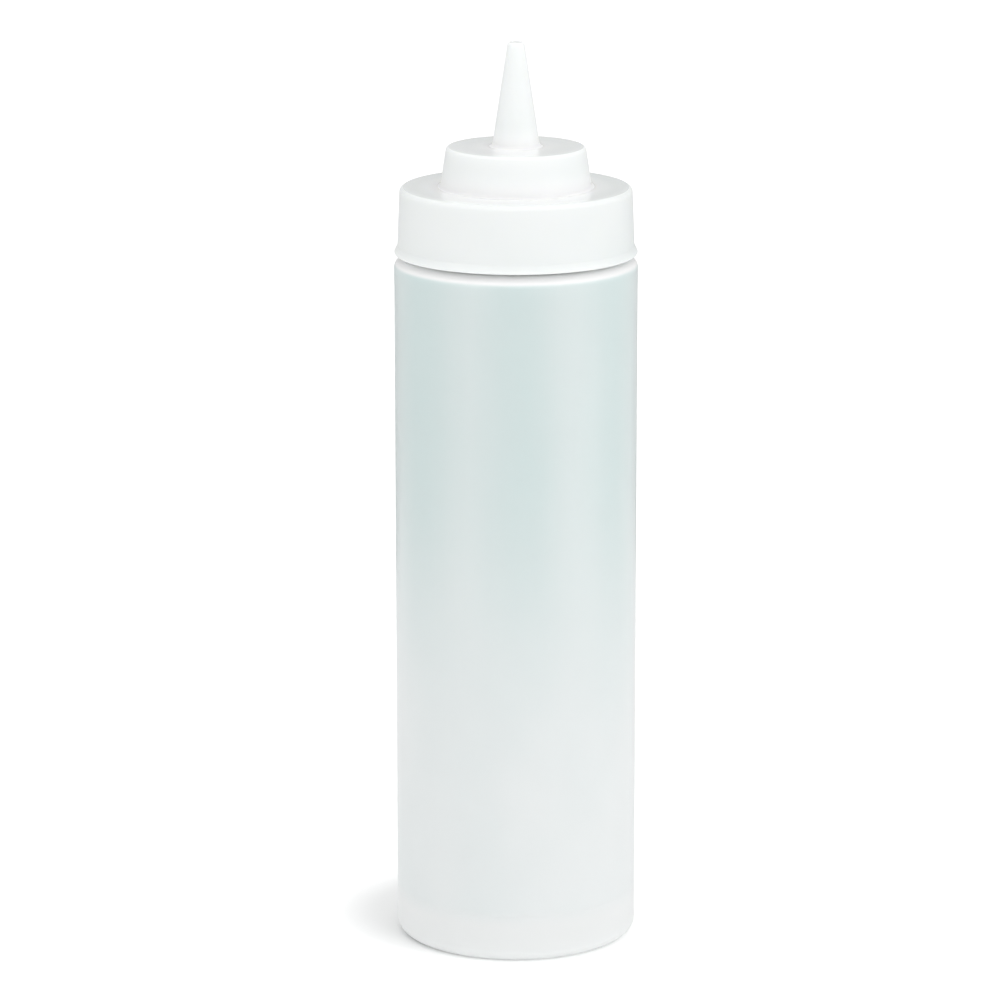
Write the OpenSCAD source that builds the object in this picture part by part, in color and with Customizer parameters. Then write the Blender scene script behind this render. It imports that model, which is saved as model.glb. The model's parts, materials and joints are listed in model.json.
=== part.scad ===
// Squeeze bottle for sauces: a soft blown bottle with a wide screw neck, a one-piece
// screw cap that steps up to a cone nozzle, and a flat sealing washer between the two.
// Millimetres. The origin is the centre of the ring that the bottle stands on, +Z is up.
// The cap is drawn screwed down. Its right-hand thread lifts it as it turns anticlockwise.

/* [Body] */
// Outside diameter of the straight body
body_d = 70; // [62:0.5:90]
// Height of the ledge that the cap's skirt comes down to
ledge_z = 201.9; // [80:0.1:260]
// Wall thickness of the straight body
body_wall = 1.2; // [0.8:0.1:1.8]
// Thickness of the floor
floor_wall = 1.4; // [0.8:0.1:1.8]
// Wall thickness of the shoulder
shoulder_wall = 2; // [1.4:0.1:2.2]
// Radius of the heel, where the wall meets the foot
heel_round = 3.6; // [2:0.1:6]
// Width of the flat ring that the bottle stands on
foot_w = 3; // [2:0.1:6]
// How far the floor is pushed up at its centre
push_up = 4; // [2:0.1:8]
// Radius that turns the body into the shoulder
shoulder_round = 2.6; // [2:0.1:4]
// Lean of the shoulder's slope from the vertical
shoulder_lean = 52; // [25:1:54]
// How far the ledge lies above the end of the straight body
shoulder_h = 3.5; // [2.8:0.1:4]

/* [Neck] */
// Wall thickness of the neck
neck_wall = 1.75; // [1.4:0.05:2.2]
// Height of the neck from the ledge to its rim
neck_h = 16.95; // [15:0.05:24]
// Rounding of the rim's two edges
rim_round = 0.4; // [0.2:0.05:0.6]
// Fillets where the neck meets the shoulder, outside and inside
neck_fillet = 0.8; // [0.4:0.1:1.2]

/* [Thread] */
// How far the neck's thread stands out
thread_depth = 1.1; // [0.8:0.05:1.2]
// Rise of the thread in one turn: six turns to the inch
thread_pitch = 4.233; // [4:0.001:5]
// Turns of thread on the neck
neck_turns = 1.25; // [1:0.05:1.5]
// Turns of thread in the cap
cap_turns = 1.1; // [0.8:0.05:1.3]
// Width of the neck's thread at its foot
neck_ridge_w = 2.4; // [2:0.1:2.5]
// Width of the cap's thread at its foot
cap_ridge_w = 2.2; // [1.8:0.1:2.4]
// Width of either thread along its crest
crest_w = 0.9; // [0.5:0.05:1.1]
// From the rim down to the middle of the neck's thread at its upper end
thread_drop = 2.6; // [2.4:0.1:3.4]

/* [Cap] */
// Thickness of the skirt
skirt_wall = 1.7; // [1.2:0.1:2.4]
// Thickness of the two flat roofs
roof_wall = 1.7; // [1.2:0.1:2.4]
// Draft of the skirt's sides
skirt_draft = 2.2; // [1:0.1:3]
// Rounding of the skirt's upper edge
skirt_round = 1.5; // [1:0.1:3]
// How far the lip round the skirt's lower edge stands out
lip_w = 0.85; // [0.3:0.05:1]
// How far the lip lies inside the body's side: it sets the neck's width from the body's
lip_inset = 0.1; // [0:0.02:1]
// Height of the lip's widest line above the skirt's lower edge
lip_rise = 0.55; // [0.4:0.05:2]
// Height of the slope from the lip's widest line up to the skirt
lip_slope = 2; // [1.5:0.1:3.5]
// Chamfer inside the skirt's lower edge
lead_in = 0.6; // [0.2:0.1:0.8]
// Depth of the ring that plugs the mouth
plug_h = 4; // [2:0.1:8]
// Thickness of the ring that plugs the mouth
plug_wall = 1.2; // [0.9:0.1:2]
// Chamfer round the lower edge of the plug ring
plug_chamfer = 0.5; // [0.2:0.1:0.7]

/* [Step] */
// Diameter of the upper step at its roof
step_d = 39.9; // [30:0.1:44]
// Height of the upper step above the lower roof
step_h = 11.6; // [7:0.1:20]
// Draft of the step's sides
step_draft = 8.5; // [3:0.1:12]
// Wall thickness of the step
step_wall = 1.6; // [1.2:0.1:2.4]
// Rounding of the step's upper edge
step_round = 1.1; // [0.6:0.1:2]
// Fillet where the step meets the lower roof
step_fillet = 1.3; // [0.6:0.1:2.5]

/* [Nozzle] */
// Height of the cone nozzle above the upper roof
nozzle_h = 29.95; // [20:0.05:45]
// Diameter of the cone where it meets the upper roof
nozzle_d = 13.7; // [11:0.1:18]
// Diameter of the cone at its top, before its edge is rounded
tip_d = 4.7; // [4.6:0.1:7]
// Rounding of the tip's edge
tip_round = 1; // [0.3:0.1:1.1]
// Diameter of the hole in the tip
orifice_d = 2.6; // [1.5:0.1:2.7]
// Length of the straight hole in the tip
orifice_h = 3.5; // [2:0.1:6]
// Wall thickness at the foot of the cone
nozzle_wall = 1.5; // [1.2:0.1:2.4]
// Fillet where the cone meets the upper roof
nozzle_fillet = 1.5; // [0.6:0.1:2.5]

/* [Sealing washer] */
// Thickness of the washer
washer_h = 1.2; // [0.8:0.1:2]

/* [Fits] */
// Gap between each thread's crest and the wall that it faces
crest_gap = 0.35; // [0.25:0.05:0.5]
// Gap between the flanks of the two threads that bear on each other
flank_gap = 0.3; // [0.2:0.05:0.5]
// Gap between the skirt's lower edge and the ledge
skirt_gap = 0.6; // [0.2:0.1:2]
// Gap between the plug ring and the mouth
plug_gap = 0.3; // [0.2:0.05:0.6]
// Gap between the washer and the walls inside and outside it
washer_gap = 0.15; // [0.1:0.05:0.3]

/* [Hidden] */
$fn = 144;

// Steps along a small rounding, across the floor's dish and round one turn of thread
round_steps = 6;
dish_steps = 14;
turn_steps = 48;
// How deep a thread's foot is set into the wall that carries it
foot_set = 0.5;
// Part of a turn over which a thread runs out at each end
run_out = 0.1;
// Overshoot of a cut
over = 1;

// Bottle
body_r = body_d / 2;
foot_out_r = body_r - heel_round;
foot_in_r = foot_out_r - foot_w;
body_top_z = ledge_z - shoulder_h;
// Outer edge of the ledge, where the shoulder's slope reaches its height
ledge_r = body_r - shoulder_round * (1 - cos(shoulder_lean))
    - (shoulder_h - shoulder_round * sin(shoulder_lean)) * tan(shoulder_lean);
ceiling_z = ledge_z - shoulder_wall;
ceiling_round = ceiling_z - body_top_z;

// Heights of the neck and the cap
rim_z = ledge_z + neck_h;
roof_under_z = rim_z + washer_h;
roof_z = roof_under_z + roof_wall;
skirt_z = ledge_z + skirt_gap;
lip_z = skirt_z + lip_rise;
lip_top_z = lip_z + lip_slope;
step_roof_z = roof_z + step_h;
step_under_z = step_roof_z - roof_wall;
tip_z = step_roof_z + nozzle_h;

// Radii from the outside in: the cap's lip lines up with the body's side, the skirt
// hangs inside the lip, and the neck with its thread fills the skirt
skirt_lean = tan(skirt_draft);
bore_r = body_r - lip_inset - lip_w - skirt_wall - (roof_under_z - lip_z) * skirt_lean;
thread_r = bore_r - crest_gap;
neck_r = thread_r - thread_depth;
mouth_r = neck_r - neck_wall;
plug_r = mouth_r - plug_gap;
nozzle_draft = atan((nozzle_d - tip_d) / 2 / nozzle_h);
orifice_r = orifice_d / 2;

// Threads: the cap's bears on the underside of the neck's, so their middles are apart
// by half of each one's width, taken at the crest of the cap's, and by the flank gap
neck_ridge_z = rim_z - thread_drop - neck_turns * thread_pitch;
neck_flare = (neck_ridge_w - crest_w) / 2 / thread_depth;
cap_ridge_z = neck_ridge_z - flank_gap - crest_w / 2
    - (neck_ridge_w / 2 - neck_flare * crest_gap);

// Radius inside the skirt, outside it and outside the step, at a height
function bore_at(z) = bore_r + (roof_under_z - z) * skirt_lean;
function skirt_at(z) = bore_at(z) + skirt_wall;
function step_at(z) = step_d / 2 + (step_roof_z - z) * tan(step_draft);

// Points along an arc about a centre, from one angle to another
function arc(r, z, radius, from, to, rz = undef) =
    [for (i = [0:round_steps])
        let (a = from + (to - from) * i / round_steps, up = is_undef(rz) ? radius : rz)
        [r + radius * cos(a), z + up * sin(a)]];

// Rounded edge where a flat roof at height z meets a side of the given draft at radius r
function edge(r, z, radius, draft) =
    arc(r - radius * (1 - sin(draft)) / cos(draft), z - radius, radius, 90, draft);

// Fillet where a side of the given draft meets a flat roof at radius r and height z
function fillet(r, z, radius, draft) =
    arc(r + radius * (1 - sin(draft)) / cos(draft), z + radius, radius, 180 + draft, 270);

// The floor's dish: level at the centre and at the foot, with half a cosine wave between
function dish(lift) =
    [for (i = [0:dish_steps])
        let (r = foot_in_r * i / dish_steps)
        [r, lift + push_up * (1 + cos(180 * r / foot_in_r)) / 2]];

function reversed(list) = [for (i = [len(list) - 1:-1:0]) list[i]];

// Outside from the centre of the floor up to the rim, then inside down again
function bottle_outline() = concat(
    dish(0),
    arc(foot_out_r, heel_round, heel_round, -90, 0),
    arc(body_r - shoulder_round, body_top_z, shoulder_round, 0, shoulder_lean),
    [[ledge_r, ledge_z]],
    reversed(fillet(neck_r, ledge_z, neck_fillet, 0)),
    arc(neck_r - rim_round, rim_z - rim_round, rim_round, 0, 90),
    arc(mouth_r + rim_round, rim_z - rim_round, rim_round, 90, 180),
    arc(mouth_r + neck_fillet, ceiling_z + neck_fillet, neck_fillet, 180, 270),
    arc(body_r - body_wall - ceiling_round, body_top_z, ceiling_round, 90, 0),
    arc(foot_out_r, heel_round, heel_round - body_wall, 0, -90, heel_round - floor_wall),
    reversed(dish(floor_wall))
);

// Outside from the tip down to the skirt's lower edge, then inside up again
function cap_outline() = concat(
    [[orifice_r, tip_z]],
    edge(tip_d / 2, tip_z, tip_round, nozzle_draft),
    fillet(nozzle_d / 2, step_roof_z, nozzle_fillet, nozzle_draft),
    edge(step_at(step_roof_z), step_roof_z, step_round, step_draft),
    fillet(step_at(roof_z), roof_z, step_fillet, step_draft),
    edge(skirt_at(roof_z), roof_z, skirt_round, skirt_draft),
    [[skirt_at(lip_top_z), lip_top_z]],
    arc(skirt_at(lip_z) + lip_w - lip_rise, lip_z, lip_rise, atan(lip_w / lip_slope), -90),
    [[bore_at(skirt_z) + lead_in, skirt_z]],
    [[bore_at(skirt_z + lead_in), skirt_z + lead_in]],
    [[bore_r, roof_under_z]],
    [[plug_r, roof_under_z]],
    [[plug_r, roof_under_z - plug_h + plug_chamfer]],
    [[plug_r - plug_chamfer, roof_under_z - plug_h]],
    [[plug_r - plug_wall, roof_under_z - plug_h]],
    [[plug_r - plug_wall, roof_under_z]],
    [[step_at(roof_under_z) - step_wall, roof_under_z]],
    [[step_at(step_under_z) - step_wall, step_under_z]],
    [[nozzle_d / 2 - nozzle_wall, step_under_z]],
    [[orifice_r, tip_z - orifice_h]]
);

// Height of a thread's crest along its length, from 0 where it has run out to 1
function crest_share(t, turns) =
    let (s = min(1, min(t, turns - t) / run_out))
    s * s * (3 - 2 * s);

// One section of a thread: its foot is buried in the wall, its crest comes and goes.
// side is 1 where the thread stands outwards from its wall and -1 where it stands inwards.
function section(wall, crest_r, share, root_w, side) =
    let (
        low_r = wall - side * foot_set,
        sunk_r = wall - side * foot_set / 2,
        high_r = sunk_r + (crest_r - sunk_r) * share,
        flare = (root_w - crest_w) / 2 / abs(crest_r - wall),
        low_w = root_w / 2 + flare * foot_set
    )
    [[low_r, -low_w], [high_r, -crest_w / 2], [high_r, crest_w / 2], [low_r, low_w]];

// A thread that starts at height z on the X axis and climbs anticlockwise. Its wall
// has radius wall_r at height wall_z and opens downwards by lean.
module thread(z, turns, crest_r, root_w, side, wall_r, wall_z = 0, lean = 0) {
    steps = round(turns * turn_steps);
    points = [for (i = [0:steps])
        let (t = turns * i / steps, h = z + thread_pitch * t)
        for (p = section(wall_r + (wall_z - h) * lean, crest_r, crest_share(t, turns), root_w, side))
        [p[0] * cos(360 * t), p[0] * sin(360 * t), h + p[1]]];
    sides = [for (i = [0:steps - 1], k = [0:3])
        let (a = 4 * i + k, b = 4 * i + (k + 1) % 4)
        each [[a, b, b + 4], [a, b + 4, a + 4]]];
    last = 4 * steps;
    ends = [[2, 1, 0], [3, 2, 0], [last, last + 1, last + 2], [last, last + 2, last + 3]];
    faces = concat(sides, ends);
    polyhedron(points, side < 0 ? [for (f = faces) reversed(f)] : faces);
}

module bottle() {
    color([0.84, 0.89, 0.88, 0.8]) {
        rotate_extrude() polygon(bottle_outline());
        thread(neck_ridge_z, neck_turns, thread_r, neck_ridge_w, 1, neck_r);
    }
}

module cap() {
    color([0.95, 0.96, 0.96]) {
        rotate_extrude() polygon(cap_outline());
        thread(cap_ridge_z, cap_turns, neck_r + crest_gap, cap_ridge_w, -1,
            bore_r, roof_under_z, skirt_lean);
    }
}

module sealing_washer() {
    color([0.93, 0.93, 0.9])
    translate([0, 0, rim_z])
    difference() {
        cylinder(h = washer_h, r = bore_r - washer_gap);
        translate([0, 0, -over]) cylinder(h = washer_h + 2 * over, r = plug_r + washer_gap);
    }
}

bottle();
cap();
sealing_washer();
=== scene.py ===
# %% [markdown]
# # A squeeze bottle for sauces, dressed as soft plastic
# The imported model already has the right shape: a blown bottle, a moulded screw cap and
# a foam washer. What it lacks is the look of polyethylene. This lesson rebuilds each of
# the three as one fine, closed surface, gives it a material, and lights it like a
# product on a white table. Everything is in metres, in the model's own frame.

# %% The frame
import json
import math

import bpy
import numpy as np
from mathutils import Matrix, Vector


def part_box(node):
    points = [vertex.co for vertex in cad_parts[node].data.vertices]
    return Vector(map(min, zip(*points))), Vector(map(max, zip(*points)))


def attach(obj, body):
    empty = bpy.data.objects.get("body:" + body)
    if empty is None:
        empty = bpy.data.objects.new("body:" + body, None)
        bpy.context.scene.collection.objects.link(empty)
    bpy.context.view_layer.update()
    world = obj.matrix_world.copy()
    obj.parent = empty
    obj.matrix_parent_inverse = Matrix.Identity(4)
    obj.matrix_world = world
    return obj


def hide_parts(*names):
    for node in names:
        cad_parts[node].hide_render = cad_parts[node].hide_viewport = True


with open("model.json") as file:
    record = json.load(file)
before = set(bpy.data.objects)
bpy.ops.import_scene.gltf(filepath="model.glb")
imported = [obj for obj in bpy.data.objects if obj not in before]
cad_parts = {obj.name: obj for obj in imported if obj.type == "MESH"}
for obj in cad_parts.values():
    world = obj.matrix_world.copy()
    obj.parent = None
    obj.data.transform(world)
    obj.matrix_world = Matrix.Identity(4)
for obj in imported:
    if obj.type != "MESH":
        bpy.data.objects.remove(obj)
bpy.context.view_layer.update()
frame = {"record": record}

# %% [markdown]
# ## The camera
# The picture was taken with a long lens from a little above the bottle. A long lens
# keeps the sides of the bottle almost parallel. The camera looks at a point on the
# bottle's axis, and a small shift puts that axis right of the middle, as in the picture.

# %% The camera
CAMERA_DISTANCE = 1.4
CAMERA_RISE = math.radians(13.465)
CAMERA_LENS = 173.55
CAMERA_SHIFT = -0.016
AIM_HEIGHT = 0.12952
aim = Vector((0, 0, AIM_HEIGHT))

camera = bpy.data.objects.new("camera", bpy.data.cameras.new("camera"))
bpy.context.scene.collection.objects.link(camera)
bpy.context.scene.camera = camera
camera.data.lens = CAMERA_LENS
camera.data.shift_x = CAMERA_SHIFT
camera.location = aim + CAMERA_DISTANCE * Vector((0, -math.cos(CAMERA_RISE), math.sin(CAMERA_RISE)))
camera.rotation_euler = (math.pi / 2 - CAMERA_RISE, 0, 0)
print("camera at", [round(x, 4) for x in camera.location])

# %% [markdown]
# ## Sizes
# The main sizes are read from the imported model, so the looks follow it. The smaller
# ones, such as wall thicknesses and roundings, can't be read from a box, so they are
# repeated here, nearly all under the names that the part's source gives them, in
# millimetres made into metres.

# %% Sizes of the bottle
MM = 0.001
mounts = {m["name"]: m for m in frame["record"]["mounts"]}
bottle_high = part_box("bottle")[1]
body_r = mounts["body_sleeve"]["dims"]["r_mm"] * MM
rim_z = bottle_high.z
ledge_z = rim_z - 16.95 * MM
body_wall = 1.2 * MM
floor_wall = 1.4 * MM
shoulder_wall = 2 * MM
heel_round = 3.6 * MM
foot_w = 3 * MM
push_up = 4 * MM
shoulder_round = 2.6 * MM
shoulder_lean = math.radians(52)
shoulder_h = 3.5 * MM
neck_wall = 1.75 * MM
rim_round = 0.4 * MM
neck_fillet = 0.8 * MM
print(f"body {2 * body_r / MM:.1f} mm wide, rim {rim_z / MM:.1f} mm high")

# %% Sizes of the cap, the washer and the threads
cap_low, cap_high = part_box("cap")
washer_low, washer_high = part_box("sealing_washer")
orifice = mounts["tip_orifice"]["dims"]
tip_z = cap_high.z
skirt_z = cap_low.z
roof_under_z = washer_high.z
orifice_r = orifice["r_mm"] * MM
orifice_h = orifice["length_mm"] * MM
washer_gap = 0.15 * MM
bore_r = washer_high.x + washer_gap
skirt_wall = 1.7 * MM
roof_wall = 1.7 * MM
skirt_lean = math.tan(math.radians(2.2))
skirt_round = 1.5 * MM
lip_w = 0.85 * MM
lip_rise = 0.55 * MM
lip_slope = 2 * MM
lead_in = 0.6 * MM
plug_h = 4 * MM
plug_wall = 1.2 * MM
plug_chamfer = 0.5 * MM
plug_gap = 0.3 * MM
step_r = 39.9 / 2 * MM
step_h = 11.6 * MM
step_lean = math.tan(math.radians(8.5))
step_wall = 1.6 * MM
step_round = 1.1 * MM
step_fillet = 1.3 * MM
nozzle_r = 13.7 / 2 * MM
nozzle_wall = 1.5 * MM
nozzle_fillet = 1.5 * MM
tip_r = 4.7 / 2 * MM
tip_round = 1 * MM
thread_depth = 1.1 * MM
thread_pitch = 4.233 * MM
neck_turns = 1.25
cap_turns = 1.1
neck_ridge_w = 2.4 * MM
cap_ridge_w = 2.2 * MM
crest_w = 0.9 * MM
thread_drop = 2.6 * MM
run_out = 0.1
crest_gap = 0.35 * MM
flank_gap = 0.3 * MM

thread_r = bore_r - crest_gap
neck_r = thread_r - thread_depth
mouth_r = neck_r - neck_wall
plug_r = mouth_r - plug_gap
neck_ridge_z = rim_z - thread_drop - neck_turns * thread_pitch
neck_flare = (neck_ridge_w - crest_w) / 2 / thread_depth
cap_ridge_z = neck_ridge_z - flank_gap - crest_w / 2 - (neck_ridge_w / 2 - neck_flare * crest_gap)
print(f"neck {2 * neck_r / MM:.2f} mm, thread {2 * thread_r / MM:.2f} mm, bore {2 * bore_r / MM:.2f} mm")

# %% [markdown]
# ## Outlines with rounded corners
# A turned piece is its outline swept about an axis, as on a lathe. No moulded plastic
# edge is sharp, so an outline is written as its corners, each with the radius that
# rounds it, and one function puts the arcs in. It could be done with a Bevel modifier,
# but then the draft angles and the spacing of the rows would be hard to control.

# %% Rounded outlines
ARC_STEPS = 8
WIDE = 4 * MM
STRAIGHT = 1e-6


def rounded(corners):
    """Points along an outline. Each corner is (r, z, radius, spacing).

    A corner turns by an angle between its two sides. The arc that touches both sides
    starts a length radius * tan(angle / 2) before the corner, and its points are that
    start turned about the arc's centre. The straight stretch after the corner is cut
    into rows no further apart than the spacing, closest near its ends.
    """
    places = np.array([c[:2] for c in corners])
    sides = np.diff(places, axis=0)
    sides /= np.linalg.norm(sides, axis=1)[:, None]
    arcs = [places[:1]]
    for i in range(1, len(corners) - 1):
        before, after = sides[i - 1], sides[i]
        angle = math.atan2(before[0] * after[1] - before[1] * after[0], before @ after)
        radius = corners[i][2]
        if radius == 0 or abs(angle) < STRAIGHT:
            arcs.append(places[i:i + 1])
            continue
        start = places[i] - before * radius * math.tan(abs(angle) / 2)
        inward = np.array((-before[1], before[0])) * math.copysign(radius, angle)
        turned = angle * np.linspace(0, 1, ARC_STEPS + 1)
        across, along = -inward[:, None], np.array((inward[1], -inward[0]))[:, None]
        arc = start[:, None] + inward[:, None] + across * np.cos(turned) + along * np.sin(turned)
        arcs.append(arc.T)
    arcs.append(places[-1:])
    rows = []
    for i, arc in enumerate(arcs[:-1]):
        rows.append(arc)
        gap = arcs[i + 1][0] - arc[-1]
        cuts = max(1, math.ceil(np.linalg.norm(gap) / corners[i][3]))
        share = (1 - np.cos(math.pi * np.arange(1, cuts) / cuts)) / 2
        if corners[i][3] < MM:
            share = np.arange(1, cuts) / cuts
        rows.append(arc[-1] + share[:, None] * gap)
    return np.vstack(rows + [arcs[-1]])


def bend(r, z, radius, start, end):
    """Corners on an arc about (r, z): r + radius * cos(angle), z + radius * sin(angle)."""
    angles = np.radians(np.linspace(start, end, ARC_STEPS + 1))
    return [(r + radius * math.cos(a), z + radius * math.sin(a), 0, WIDE) for a in angles]


# %% [markdown]
# ## Turning an outline into a mesh
# The surface is a grid: one way along the outline, the other way round the axis. All
# of its points come from two arrays and one formula, with no loop over vertices. Where
# the outline starts and ends on the axis, each end is a single point, a pole, closed
# by a fan of triangles. Where it is a closed loop, the last row joins the first.

# %% The lathe
COLUMNS = 256
PARTING = math.radians(-18)
SPREAD = np.radians([-0.7, -0.45, -0.2, 0.2, 0.45, 0.7])


def columns():
    """Angles of the grid's columns: even steps, with a few close ones at the parting."""
    even = np.arange(COLUMNS) * 2 * math.pi / COLUMNS
    extra = np.concatenate([side + SPREAD for side in (PARTING, PARTING + math.pi)])
    return np.unique(np.round(np.concatenate([even, extra % (2 * math.pi)]), 6))


def lathe(name, outline, push=None, loop=False):
    """A closed surface: x = r * cos(angle), y = r * sin(angle), z from the outline.

    push(angle, r, z) returns the r and z that each point of the grid really has.
    """
    angle, r = np.meshgrid(columns(), outline[:, 0])
    z = np.broadcast_to(outline[:, 1:], r.shape)
    if push:
        r, z = push(angle, r, z)
    grid = np.stack([r * np.cos(angle), r * np.sin(angle), z], axis=-1)
    if not loop:
        grid = grid[1:-1]
    here = np.arange(grid[..., 0].size).reshape(grid.shape[:2])
    right = np.roll(here, -1, axis=1)
    above, above_right = (np.roll(a, -1, axis=0) for a in (here, right))
    quads = np.stack([here, right, above_right, above], axis=-1)
    points = grid.reshape(-1, 3).tolist()
    if loop:
        faces = quads.reshape(-1, 4).tolist()
    else:
        first, last = len(points), len(points) + 1
        points += [[0, 0, outline[0, 1]], [0, 0, outline[-1, 1]]]
        faces = quads[:-1].reshape(-1, 4).tolist()
        faces += [[first, b, a] for a, b in zip(here[0].tolist(), right[0].tolist())]
        faces += [[a, b, last] for a, b in zip(here[-1].tolist(), right[-1].tolist())]
    mesh = bpy.data.meshes.new(name)
    mesh.from_pydata(points, [], faces)
    mesh.polygons.foreach_set("use_smooth", np.ones(len(faces), bool))
    mesh.update()
    piece = bpy.data.objects.new(name, mesh)
    bpy.context.scene.collection.objects.link(piece)
    print(f"{name}: {len(points)} vertices, {len(faces)} faces")
    return piece


print("columns round the axis:", len(columns()))


# %% [markdown]
# ## A thread as a push on the wall
# The neck's thread and the cap's thread are ridges that climb round a wall. Instead of
# a second mesh sunk into the wall, the wall's own points are pushed out where the ridge
# passes. The surface stays one skin, which matters for plastic that light goes through.

# %% The ridge of a thread
def smooth(share):
    """0 below 0, 1 above 1, and 3 s^2 - 2 s^3 between."""
    share = np.clip(share, 0, 1)
    return share * share * (3 - 2 * share)


def ridge(angle, z, start_z, turns, root_w):
    """Share of a thread's full depth at each point, from 0 on the wall to 1 on the crest.

    After t turns the ridge's middle is at start_z + pitch * t. Its flanks are straight
    from the root to the crest, and it runs out smoothly over part of a turn at each end.
    """
    share = np.zeros_like(angle)
    for lap in range(math.ceil(turns)):
        t = angle / (2 * math.pi) + lap
        off = np.abs(z - (start_z + thread_pitch * t))
        flank = np.clip((root_w / 2 - off) / ((root_w - crest_w) / 2), 0, 1)
        share = np.maximum(share, flank * smooth(np.minimum(t, turns - t) / run_out))
    return share


# %% [markdown]
# ## The bottle
# The bottle is blown in a mould of two halves from a hot tube of plastic. That leaves a
# hair of flash where the halves meet, up both sides, and a low scar across the foot
# where the tube was pinched shut. The mould's bottom is a separate insert, and it leaves
# a fine groove round the body just above the heel. The wall is never quite even: it
# wanders by a few hundredths of a millimetre, which makes long reflections soft and wavy.
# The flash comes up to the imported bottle's side, and the wall beside it lies up to
# 0.08 mm inside that, so the bottle is not made any wider.

# %% The bottle's outline
foot_out_r = body_r - heel_round
foot_in_r = foot_out_r - foot_w
body_top_z = ledge_z - shoulder_h
ledge_r = (body_r - shoulder_round * (1 - math.cos(shoulder_lean))
           - (shoulder_h - shoulder_round * math.sin(shoulder_lean)) * math.tan(shoulder_lean))
ceiling_z = ledge_z - shoulder_wall
ceiling_round = ceiling_z - body_top_z
SOFT = 0.2 * MM
DISH_ROWS = 40
THREAD_ROWS = 0.17 * MM
SEAM_Z = 14 * MM
SEAM_REACH = 1.2 * MM


def dish(lift):
    """The floor's dish: height = lift + push_up * (1 + cos(half a turn * r / rim)) / 2."""
    r = np.linspace(0, foot_in_r, DISH_ROWS)
    z = lift + push_up * (1 + np.cos(math.pi * r / foot_in_r)) / 2
    return [(a, b, 0, WIDE) for a, b in zip(r, z)]


bottle_outline = rounded([
    *dish(0),
    (body_r, 0, heel_round, WIDE),
    (body_r, SEAM_Z - SEAM_REACH, 0, SOFT),
    (body_r, SEAM_Z + SEAM_REACH, 0, WIDE),
    (body_r, body_top_z + shoulder_round * math.tan(shoulder_lean / 2), shoulder_round, MM),
    (ledge_r, ledge_z, SOFT, WIDE),
    (neck_r, ledge_z, neck_fillet, THREAD_ROWS),
    (neck_r, rim_z, rim_round, WIDE),
    (mouth_r, rim_z, rim_round, WIDE),
    (mouth_r, ceiling_z, neck_fillet, WIDE),
    (body_r - body_wall, ceiling_z, ceiling_round, WIDE),
    (body_r - body_wall, floor_wall, heel_round - floor_wall, WIDE),
    *reversed(dish(floor_wall)),
])
print("bottle outline:", len(bottle_outline), "rows")

# %% The bottle's wall, thread, parting line and pinch scar
WANDER = 0.03 * MM
FLASH_H = 0.05 * MM
FLASH_W = 0.22 * MM
SEAM_H = 0.06 * MM
SEAM_W = 0.45 * MM
SCAR_H = 0.35 * MM
SCAR_W = 0.8 * MM
SCAR_R = 21 * MM
SCAR_END = 4 * MM
WANDER_START = 2 * MM
WANDER_EASE = 8 * MM


def blown(angle, r, z):
    """The wall's radius less its wander, which is a sum of three slow waves round the
    bottle that turn a little with height, and less the insert's groove, plus the flash,
    plus the thread's depth. Flash and groove fall off as exp(-(distance / width)^2).
    """
    outside = np.arange(r.shape[0])[:, None] <= int(np.argmax(bottle_outline[:, 1]))
    waves = (np.cos(2 * angle + 9 * z) + np.cos(3 * angle - 14 * z + 1) + np.cos(5 * angle + 4)) / 6
    low_ease = smooth((z - WANDER_START) / WANDER_EASE)
    on_body = outside * low_ease * smooth((body_top_z - z) / WANDER_EASE)
    aside = r * np.abs(np.sin(angle - PARTING))
    flash = np.exp(-(aside / FLASH_W) ** 2)
    groove = np.exp(-((z - SEAM_Z) / SEAM_W) ** 2)
    new_r = r - on_body * (WANDER * (waves + 0.5) + FLASH_H * (1 - flash) + SEAM_H * groove)
    on_neck = outside * (z > ledge_z + neck_fillet) * (z < rim_z - rim_round)
    lift = ridge(angle, z, neck_ridge_z, neck_turns, neck_ridge_w)
    new_r = new_r + on_neck * lift * thread_depth
    under = outside * (r < SCAR_R) * (z < push_up + MM)
    scar = smooth(1 - aside / SCAR_W) * smooth((SCAR_R - r) / SCAR_END)
    return new_r, z - under * SCAR_H * scar


bottle = lathe("bottle_blown", bottle_outline, blown)

# %% [markdown]
# ## The cap
# The cap is injected in one piece: skirt, lower roof, upper step and cone. The skirt
# leans by 2.2 degrees, and the step and the cone by about 8.5, so that the cap comes off
# the mould's core. Only the short plug ring and the hole in the tip are straight. The
# outline is a closed loop, because the hole goes right through.

# %% The cap's outline
roof_z = roof_under_z + roof_wall
step_roof_z = roof_z + step_h
step_under_z = step_roof_z - roof_wall
lip_z = skirt_z + lip_rise
lip_top_z = lip_z + lip_slope


def bore_at(z):
    """Radius inside the skirt: the bore's + the drop below the roof * the skirt's slope."""
    return bore_r + (roof_under_z - z) * skirt_lean


def skirt_at(z):
    """Radius outside the skirt at a height: the radius inside + the wall."""
    return bore_at(z) + skirt_wall


def step_at(z):
    """Radius outside the step: the one at its roof + the drop below that * its slope."""
    return step_r + (step_roof_z - z) * step_lean


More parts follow.
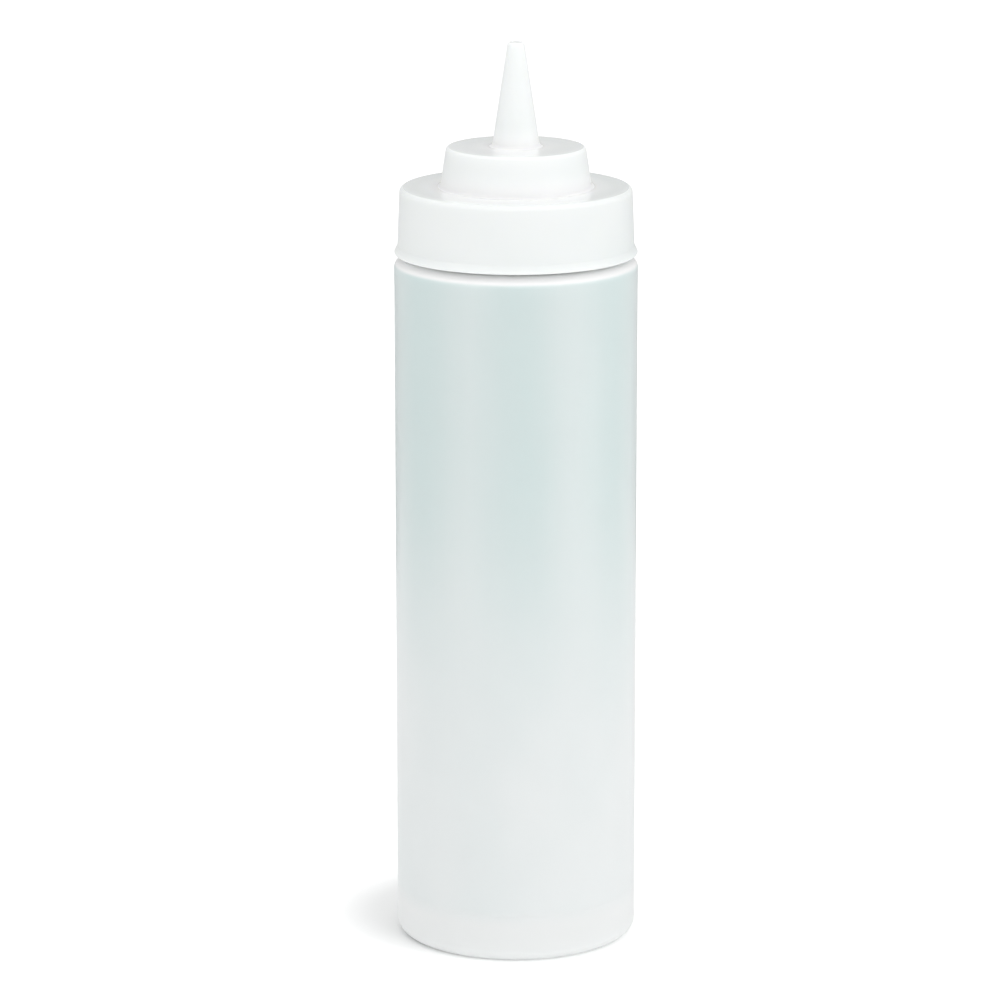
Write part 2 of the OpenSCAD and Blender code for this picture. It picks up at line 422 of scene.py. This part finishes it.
lip_lean = math.degrees(math.atan(lip_w / lip_slope))
lip_fillet = 1.2 * MM
orifice_round = 0.1 * MM
dome_round = 0.5 * MM
plug_fillet = 0.3 * MM
dome_edge = 0.4 * MM
cap_outline = rounded([
    (bore_at(skirt_z) + lead_in, skirt_z, 0, WIDE),
    *bend(skirt_at(lip_z) + lip_w - lip_rise, lip_z, lip_rise, -90, lip_lean),
    (skirt_at(lip_top_z), lip_top_z, lip_fillet, WIDE),
    (skirt_at(roof_z), roof_z, skirt_round, WIDE),
    (step_at(roof_z), roof_z, step_fillet, WIDE),
    (step_r, step_roof_z, step_round, WIDE),
    (nozzle_r, step_roof_z, nozzle_fillet, WIDE),
    (tip_r, tip_z, tip_round, WIDE),
    (orifice_r, tip_z, orifice_round, WIDE),
    (orifice_r, tip_z - orifice_h, SOFT, WIDE),
    (nozzle_r - nozzle_wall, step_under_z, dome_round, WIDE),
    (step_at(step_under_z) - step_wall, step_under_z, dome_round, WIDE),
    (step_at(roof_under_z) - step_wall, roof_under_z, dome_edge, WIDE),
    (plug_r - plug_wall, roof_under_z, plug_fillet, WIDE),
    (plug_r - plug_wall, roof_under_z - plug_h, SOFT, WIDE),
    (plug_r - plug_chamfer, roof_under_z - plug_h, SOFT, WIDE),
    (plug_r, roof_under_z - plug_h + plug_chamfer, SOFT, WIDE),
    (plug_r, roof_under_z, SOFT, WIDE),
    (bore_r, roof_under_z, SOFT, THREAD_ROWS),
    (bore_at(skirt_z + lead_in), skirt_z + lead_in, SOFT, WIDE),
    (bore_at(skirt_z) + lead_in, skirt_z, 0, WIDE),
])[:-1]
print("cap outline:", len(cap_outline), "rows")


# %% The cap's thread
ON_WALL = 0.02 * MM


def moulded(angle, r, z):
    """The bore's radius less the ridge, whose crest stays clear of the neck all round:
    radius = bore - share * (bore - neck - gap).
    """
    in_bore = (np.abs(r - bore_at(z)) < ON_WALL) * (z < roof_under_z - SOFT)
    lift = ridge(angle, z, cap_ridge_z, cap_turns, cap_ridge_w)
    return r - in_bore * lift * (r - neck_r - crest_gap), z


cap = lathe("cap_moulded", cap_outline, moulded, loop=True)

# %% [markdown]
# ## The washer
# The washer is cut from a sheet of foam with a round punch. The cut edges are square,
# with only the least rounding. A real one bulges by a hair where it is squeezed between
# the cap's roof and the bottle's rim. That is left out, because the cap hides it.

# %% The washer
WASHER_EDGE = 0.12 * MM
washer_in_r = plug_r + washer_gap
washer_out_r = washer_high.x
washer_mid_r = washer_in_r + 2 * MM
washer_outline = rounded([
    (washer_mid_r, washer_low.z, 0, MM),
    (washer_out_r, washer_low.z, WASHER_EDGE, SOFT),
    (washer_out_r, washer_high.z, WASHER_EDGE, MM),
    (washer_in_r, washer_high.z, WASHER_EDGE, SOFT),
    (washer_in_r, washer_low.z, WASHER_EDGE, MM),
    (washer_mid_r, washer_low.z, 0, MM),
])[:-1]
washer = lathe("washer_foam_ring", washer_outline, loop=True)

# %% [markdown]
# ## Materials
# Every finish is a node material. A small helper adds a node, sets its sockets and
# links what is given, so that each material reads as a short list. The patterns use
# Object coordinates, in metres, because the pieces sit at the origin unturned.

# %% Helpers for materials
def material(name):
    """A new node material, a way to add nodes to it, and one to feed its shader."""
    made = bpy.data.materials.new(name)
    made.use_nodes = True
    tree = made.node_tree
    shader = tree.nodes["Principled BSDF"]

    def add(kind, settings=None, **sockets):
        """Adds a node. Sockets take a number, a colour, or another node's output."""
        node = tree.nodes.new("ShaderNode" + kind)
        for key, value in (settings or {}).items():
            setattr(node, key, value)
        for key, value in sockets.items():
            feed(node, key.replace("_", " "), value)
        return node

    def feed(node, key, value):
        """Sets one socket of a node, or links it."""
        socket = node.inputs[int(key) if key.isdigit() else key]
        if isinstance(value, bpy.types.NodeSocket):
            tree.links.new(value, socket)
        else:
            socket.default_value = value

    return made, add, lambda key, value: feed(shader, key, value)


def wave_of(add, scale, stretch=(1, 1, 1), detail=3.0, low=0.3, high=0.7):
    """A noise pattern in object space, spread so that it runs from 0 to 1."""
    place = add("TexCoord").outputs["Object"]
    scaled = add("Mapping", Vector=place, Scale=stretch).outputs[0]
    noise = add("TexNoise", Vector=scaled, Scale=scale, Detail=detail).outputs[0]
    soft = {"interpolation_type": "SMOOTHSTEP"}
    return add("MapRange", soft, Value=noise, From_Min=low, From_Max=high).outputs[0]


def height_share(add, start, full):
    """0 at the first height and beyond, 1 at the second, smooth between."""
    place = add("TexCoord").outputs["Object"]
    z = add("SeparateXYZ", Vector=place).outputs["Z"]
    settings = {"interpolation_type": "SMOOTHSTEP"}
    return add("MapRange", settings, Value=z, From_Min=start, From_Max=full).outputs[0]


def sum_of(add, first, factor, extra):
    """first * factor + extra."""
    return add("Math", {"operation": "MULTIPLY_ADD"}, **{"0": first, "1": factor, "2": extra}).outputs[0]


def mixed(add, share, first, second):
    """A colour between two, by share."""
    node = add("Mix", {"data_type": "RGBA"})
    for socket, value in zip((node.inputs[0], node.inputs[6], node.inputs[7]), (share, first, second)):
        if isinstance(value, bpy.types.NodeSocket):
            node.id_data.links.new(value, socket)
        else:
            socket.default_value = value
    return node.outputs[2]


def between(add, share, low, high):
    """A number between two, by share."""
    return add("MapRange", Value=share, To_Min=low, To_Max=high).outputs[0]


# %% [markdown]
# ## Natural polyethylene
# The bottle's plastic has no pigment. Thin, it is milky and lets light through; thick,
# it is white. Light that enters it is scattered many times before it leaves, which is
# subsurface scattering. The tube that it was blown from is thicker in some places round
# its girth than in others, so the wall has soft bands from top to bottom: whiter where
# it is thick, more see-through and greener where it is thin. A cosine of the angle about
# the axis gives the bands, and noise bends them. The mould's sandblasted face leaves a
# fine grain. Below the insert's groove the plastic is thick again, so it is whiter, and
# the foot is scuffed.

# %% The bottle's plastic
BANDS = 7
BAND_TURN = math.radians(60)
BAND_BEND = 0.5
BAND_SHARE = 0.4
STREAK_SHARE = 0.2
EVEN_SHARE = 0.4
# The pale colours are painted light: the lower body is lightened as if lit by the table below it.
PALE_PAINTED_TABLE_LIGHT = ((0.78, 0.835, 0.835, 1), (0.82, 0.865, 0.865, 1))
AQUA = ((0.637, 0.746, 0.738, 1), (0.713, 0.796, 0.79, 1))
plastic, add, feed = material("bottle_plastic")
streaks = wave_of(add, scale=90, stretch=(1, 1, 0.03), detail=2)
clouds = wave_of(add, scale=28, stretch=(1, 1, 0.6), detail=2)
place = add("SeparateXYZ", Vector=add("TexCoord").outputs["Object"]).outputs
angle = add("Math", {"operation": "ARCTAN2"}, **{"0": place["Y"], "1": place["X"]}).outputs[0]
turned = sum_of(add, angle, BANDS, sum_of(add, clouds, BAND_BEND, BAND_TURN))
band = add("Math", {"operation": "COSINE"}, **{"0": turned}).outputs[0]
thickness = sum_of(add, band, BAND_SHARE, sum_of(add, streaks, STREAK_SHARE, EVEN_SHARE))
pale_painted_table_light = mixed(add, clouds, *PALE_PAINTED_TABLE_LIGHT)
aqua = mixed(add, thickness, *AQUA)
print("bands round the bottle:", BANDS)

# %% The bottle's colour from foot to neck
FOOT_WHITE = (0.85, 0.88, 0.875, 1)
NECK_WHITE = (0.95, 0.97, 0.965, 1)
FOOT_TOP = SEAM_Z + 2 * MM
FOOT_FULL = SEAM_Z - 4 * MM
TABLE_LIGHT_FULL_BELOW = 50 * MM
TABLE_LIGHT_GONE_ABOVE = 150 * MM
NECK_START = body_top_z + 0.5 * MM
NECK_FULL = body_top_z + 1.6 * MM
# Painted light: up to 50 mm the body is painted pale, fading to the banded tint by 150 mm, as if lit
# from the table below.
foot_white_and_painted_light = mixed(add, height_share(add, FOOT_TOP, FOOT_FULL), pale_painted_table_light, FOOT_WHITE)
body_tint_and_painted_light = mixed(add, height_share(add, TABLE_LIGHT_FULL_BELOW, TABLE_LIGHT_GONE_ABOVE), foot_white_and_painted_light, aqua)
thick = height_share(add, NECK_START, NECK_FULL)
feed("Base Color", mixed(add, thick, body_tint_and_painted_light, NECK_WHITE))
print(f"white foot below {FOOT_FULL / MM:.0f} mm, full tint above {TABLE_LIGHT_GONE_ABOVE / MM:.0f} mm")

# %% [markdown]
# A roughness pattern that crossed about 0.27 showed as thin hard lines.
# The likely cause is that the render's noise filter treats smoother surfaces in another
# way. So the whole bottle stays above that value, and wear at the foot only makes it
# rougher. The cap's polished roofs lie below it, and pass it only where they bend into
# the sides. The neck is given less depth for light than the body, which keeps the gap
# under the cap's lip bright.

# %% The bottle's gloss, grain and depth
SATIN = (0.28, 0.31)
WEAR_TOP = 6 * MM
WEAR = 0.25
WEAR_LEAST = 0.3
GRAIN_H = 0.00002
STREAK_H = 0.00004
BODY_DEPTH = 0.0025
NECK_DEPTH = 0.0009
fine_streaks = wave_of(add, scale=420, stretch=(1, 1, 0.02), detail=2)
scuffs = wave_of(add, scale=900, stretch=(1, 1, 1.8), detail=4, low=0.45, high=0.75)
low_wear = height_share(add, WEAR_TOP, 0.0)
rubbed = between(add, scuffs, WEAR_LEAST, 1)
worn = add("Math", {"operation": "MULTIPLY"}, **{"0": rubbed, "1": low_wear}).outputs[0]
feed("Roughness", sum_of(add, worn, WEAR, between(add, fine_streaks, *SATIN)))
grain = wave_of(add, scale=5200, detail=2)
fine = add("Bump", Height=grain, Strength=0.12, Distance=GRAIN_H).outputs[0]
feed("Normal", add("Bump", Height=streaks, Strength=0.3, Distance=STREAK_H, Normal=fine).outputs[0])
feed("IOR", 1.51)
feed("Subsurface Weight", 1.0)
feed("Subsurface Radius", (1.0, 1.0, 1.0))
feed("Subsurface Scale", between(add, thick, BODY_DEPTH, NECK_DEPTH))
bottle.data.materials.append(plastic)
print("bottle's plastic:", len(plastic.node_tree.nodes), "nodes")

# %% [markdown]
# ## Milky white plastic
# The cap is thicker and has a little white pigment, so it is nearly opaque. The step and
# the cone are hollow and light comes through them, so their colour is painted a shade
# whiter than the skirt's: painted light on them and painted shade on the skirt, which has
# the bottle's neck behind it. The inner corners at the foot of the step and of the cone
# would lie in shade, but they are painted whitest: painted light in place of that shade.
# The mould was polished on the two roofs and left satin on the sides.

# %% The cap's colour
# The step and the cone are painted whiter than the skirt. This is painted light for the light that comes
# through them, and painted shade on the skirt, which has the neck behind it.
PAINTED_LIGHT_EASE = 3 * MM
BACKED_PAINTED_SHADE = ((0.80, 0.83, 0.825, 1), (0.84, 0.86, 0.855, 1))
HOLLOW_PAINTED_LIGHT = ((0.84, 0.865, 0.86, 1), (0.87, 0.89, 0.885, 1))
white, add, feed = material("cap_plastic")
cloud = wave_of(add, scale=22, detail=2)
painted_light_above_roof = height_share(add, roof_z, roof_z + PAINTED_LIGHT_EASE)
cap_tint_and_painted_light = mixed(add, painted_light_above_roof, mixed(add, cloud, *BACKED_PAINTED_SHADE), mixed(add, cloud, *HOLLOW_PAINTED_LIGHT))
print(f"the cap is whiter above {roof_z / MM:.1f} mm")

# %% Painted light in the cap's inner corners
# Painted light: the inner corners at the foot of the step and of the cone are painted whitest, in place
# of the shade that falls there.
CORNER_LIGHT_REACH = 8 * MM
CORNER_PAINTED_LIGHT = (0.935, 0.958, 0.952, 1)
place = add("TexCoord").outputs["Object"]
level_place = add("Mapping", Vector=place, Scale=(1, 1, 0)).outputs[0]
out = add("VectorMath", {"operation": "LENGTH"}, **{"0": level_place}).outputs["Value"]
height = add("SeparateXYZ", Vector=place).outputs["Z"]
spot = add("CombineXYZ", X=out, Z=height).outputs[0]


def painted_light_near_corner(r, z):
    """1 at a ring of radius r and height z, falling to 0 at the reach of the painted light."""
    away = add("VectorMath", {"operation": "DISTANCE"}, **{"0": spot, "1": (r, 0, z)}).outputs["Value"]
    soft = {"interpolation_type": "SMOOTHSTEP"}
    return add("MapRange", soft, Value=away, From_Min=CORNER_LIGHT_REACH, From_Max=0.0).outputs[0]


corners = painted_light_near_corner(step_at(roof_z), roof_z), painted_light_near_corner(nozzle_r, step_roof_z)
painted_corner_light = add("Math", {"operation": "MAXIMUM"}, **{"0": corners[0], "1": corners[1]}).outputs[0]
# The whitest colour in the inner corners is painted light.
feed("Base Color", mixed(add, painted_corner_light, cap_tint_and_painted_light, CORNER_PAINTED_LIGHT))
print(f"inner corners are whitest, and reach {CORNER_LIGHT_REACH / MM:.0f} mm")

# %% The cap's gloss, grain and depth
SIDE_SATIN = (0.34, 0.40)
ROOF_POLISH = 0.2
ROOF_SLOPE = (0.9, 0.99)
FLOW_H = 0.00005
CAP_DEPTH = 0.0012
flow = wave_of(add, scale=60, stretch=(1, 1, 0.4), detail=3)
level = add("NewGeometry").outputs["Normal"]
up = add("SeparateXYZ", Vector=level).outputs["Z"]
flat = add("MapRange", Value=up, From_Min=ROOF_SLOPE[0], From_Max=ROOF_SLOPE[1]).outputs[0]
side = between(add, flow, *SIDE_SATIN)
feed("Roughness", add("Mix", **{"0": flat, "2": side, "3": ROOF_POLISH}).outputs[0])
grain = wave_of(add, scale=4800, detail=2)
fine = add("Bump", Height=grain, Strength=0.1, Distance=GRAIN_H).outputs[0]
feed("Normal", add("Bump", Height=flow, Strength=0.35, Distance=FLOW_H, Normal=fine).outputs[0])
feed("IOR", 1.58)
feed("Subsurface Weight", 1.0)
feed("Subsurface Radius", (1.0, 1.0, 0.95))
feed("Subsurface Scale", CAP_DEPTH)
cap.data.materials.append(white)
print("cap's plastic:", len(white.node_tree.nodes), "nodes")

# %% [markdown]
# ## Foam
# The washer is closed-cell foam: matt, with cells of about a tenth of a millimetre
# that show as pits in the cut edge and as a soft pebbling on its skin.

# %% The washer's foam
CELLS = 7000
PIT_DEPTH = 0.00005
FOAM = ((0.80, 0.80, 0.76, 1), (0.88, 0.88, 0.85, 1))
FOAM_ROUGH = (0.75, 0.9)
foam, add, feed = material("washer_foam")
place = add("TexCoord").outputs["Object"]
cells = add("TexVoronoi", Vector=place, Scale=CELLS).outputs["Distance"]
mottle = wave_of(add, scale=300, detail=3)
feed("Base Color", mixed(add, mottle, *FOAM))
feed("Roughness", between(add, mottle, *FOAM_ROUGH))
feed("Normal", add("Bump", Height=cells, Strength=0.6, Distance=PIT_DEPTH).outputs[0])
washer.data.materials.append(foam)
print("washer's foam:", len(foam.node_tree.nodes), "nodes")

# %% [markdown]
# ## What each piece stands for
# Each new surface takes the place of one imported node, rides on the same body, and so
# moves with it when the cap is turned.

# %% Riding on the bodies
for piece, node, body, slot in (
    (bottle, "bottle", "bottle", "bottle_plastic"),
    (cap, "cap", "cap", "cap_plastic"),
    (washer, "sealing_washer", "washer", "washer_foam"),
):
    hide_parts(node)
    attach(piece, body)
    print(piece.name, "stands for", node, "and rides on", body)

# %% [markdown]
# ## The floor and the light
# The floor is pale and runs to the horizon. A bright room lights the bottle evenly, and
# one very soft light from the right gives it shape and its faint shadow. Glossy plastic
# shows what is around it, so the surroundings matter as much as the light: a pale table
# near by, two tall white panels in front, and a darker far wall, which the cap's flat
# roofs mirror. The floor also glows a little, except close round the foot, and that
# deepens the shadow there.

# %% The floor
FLOOR_HALF = 20.0
SHADE_CENTRE = (-0.010, 0.013, 0)
SHADE_IN = 0.030
SHADE_OUT = 0.049
FLOOR_DIM = 0
FLOOR_GLOW = 0.2
PAPER = 0.86


def card(name, centre, half_u, half_v):
    """A flat rectangle whose corners are centre - u - v, + u - v, + u + v and - u + v."""
    centre, u, v = (np.array(a, float) for a in (centre, half_u, half_v))
    corners = [centre - u - v, centre + u - v, centre + u + v, centre - u + v]
    mesh = bpy.data.meshes.new(name)
    mesh.from_pydata([tuple(c) for c in corners], [], [(0, 1, 2, 3)])
    made = bpy.data.objects.new(name, mesh)
    bpy.context.scene.collection.objects.link(made)
    return made


floor = card("floor", (0, 0, 0), (FLOOR_HALF, 0, 0), (0, FLOOR_HALF, 0))
paper, add, feed = material("pale_floor")
feed("Base Color", (PAPER, PAPER, PAPER, 1))
feed("Roughness", 0.9)
feed("Emission Color", (1, 1, 1, 1))
place = add("TexCoord").outputs["Object"]
away = add("VectorMath", {"operation": "DISTANCE"}, **{"0": place, "1": SHADE_CENTRE}).outputs["Value"]
smoothly = {"interpolation_type": "SMOOTHSTEP"}
share = add("MapRange", smoothly, Value=away, From_Min=SHADE_IN, From_Max=SHADE_OUT).outputs[0]
feed("Emission Strength", between(add, share, FLOOR_DIM, FLOOR_GLOW))
floor.data.materials.append(paper)
floor.visible_glossy = False
print("floor's glow:", FLOOR_DIM, "beside the foot to", FLOOR_GLOW, "away from it")


# %% Cards that only reflections see
def only_in_reflections(piece, strength):
    """Lets a card glow in glossy reflections and show nowhere else."""
    glow, add, feed = material(piece.name)
    feed("Base Color", (0, 0, 0, 1))
    feed("Emission Color", (1, 1, 1, 1))
    feed("Emission Strength", strength)
    piece.data.materials.append(glow)
    piece.visible_camera = False
    piece.visible_diffuse = False
    piece.visible_shadow = False
    piece.visible_transmission = False


TABLE_HALF = 0.42
TABLE_GLOW = 0.75
LEFT_GLOW = 3.0
RIGHT_GLOW = 2.0
TABLE_PLACE = (0, 0, -0.002)
LEFT_PLACE = (-0.97, -1.0, -1.18)
LEFT_HALF = (0.16, -0.15, 0)
RIGHT_PLACE = (1.1, -0.5, -1.18)
RIGHT_HALF = (0.13, 0.4, 0)
PANEL_RISE = (0, 0, 1.2)
table = card("table_reflection", TABLE_PLACE, (TABLE_HALF, 0, 0), (0, TABLE_HALF, 0))
only_in_reflections(table, TABLE_GLOW)
left_panel = card("left_panel", LEFT_PLACE, LEFT_HALF, PANEL_RISE)
only_in_reflections(left_panel, LEFT_GLOW)
right_panel = card("right_panel", RIGHT_PLACE, RIGHT_HALF, PANEL_RISE)
only_in_reflections(right_panel, RIGHT_GLOW)
print("cards in reflections:", table.name, left_panel.name, right_panel.name)

# %% The key light
KEY_STRENGTH = 0.42
KEY_SOFTNESS = math.radians(60)
key_from = Vector((0.8, -1.0, 0.7))
key = bpy.data.objects.new("key_light", bpy.data.lights.new("key_light", "SUN"))
bpy.context.scene.collection.objects.link(key)
key.data.energy = KEY_STRENGTH
key.data.angle = KEY_SOFTNESS
key.rotation_euler = (-key_from).to_track_quat("-Z", "Y").to_euler()
key.visible_glossy = False
print(f"key light: {KEY_STRENGTH} W/m2, {math.degrees(KEY_SOFTNESS):.0f} degrees wide")

# %% [markdown]
# The room has no walls of its own. It is a brightness for each direction. The camera
# sees plain white. Soft light follows one curve by height, from the floor up. Glossy
# rays follow two others, one for the near half of the room and one for the half behind
# the bottle, which is darker at eye level.

# %% The room
room = bpy.data.worlds.new("room")
bpy.context.scene.world = room
room.use_nodes = True
tree = room.node_tree
rays = tree.nodes.new("ShaderNodeLightPath").outputs
direction = tree.nodes.new("ShaderNodeSeparateXYZ")
tree.links.new(tree.nodes.new("ShaderNodeTexCoord").outputs["Generated"], direction.inputs[0])


def by_height(points):
    """A brightness that follows a curve: each point is (height of the direction, value)."""
    node = tree.nodes.new("ShaderNodeFloatCurve")
    curve = node.mapping.curves[0].points
    node.mapping.use_clip = False
    for place, value in points[1:-1]:
        curve.new(place, value)
    curve[0].location = points[0]
    curve[-1].location = points[-1]
    node.mapping.update()
    tree.links.new(direction.outputs["Z"], node.inputs["Value"])
    return node.outputs[0]


def choose(share, first, second):
    """A brightness that is the first where share is 0 and the second where it is 1."""
    node = tree.nodes.new("ShaderNodeMix")
    for value, socket in zip((share, first, second), (node.inputs[0], node.inputs[2], node.inputs[3])):
        if isinstance(value, bpy.types.NodeSocket):
            tree.links.new(value, socket)
        else:
            socket.default_value = value
    return node.outputs[0]


TURN_OF_WALLS = 0.3
NEAR_WALL = [(-0.3, 0.25), (-0.1, 0.35), (0.05, 0.85), (1, 1)]
FAR_WALL = [(-0.3, 0.4), (0, 0.36), (0.12, 0.42), (0.28, 0.42), (0.6, 0.7), (1, 1)]
SOFT_LIGHT = [(-0.1, 0.77), (0.0, 0.77), (0.5, 0.98), (1, 1.2)]
behind = tree.nodes.new("ShaderNodeMapRange")
tree.links.new(direction.outputs["Y"], behind.inputs["Value"])
behind.inputs["From Min"].default_value = -TURN_OF_WALLS
behind.inputs["From Max"].default_value = TURN_OF_WALLS
mirrored = choose(behind.outputs[0], by_height(NEAR_WALL), by_height(FAR_WALL))
strength = choose(rays["Is Glossy Ray"], by_height(SOFT_LIGHT), mirrored)
strength = choose(rays["Is Camera Ray"], strength, 1.0)
tree.links.new(strength, tree.nodes["Background"].inputs["Strength"])
tree.nodes["Background"].inputs["Color"].default_value = (1, 1, 1, 1)

bpy.context.scene.view_settings.view_transform = "Standard"
bpy.context.scene.view_settings.look = "None"
print("room:", len(tree.nodes), "nodes")
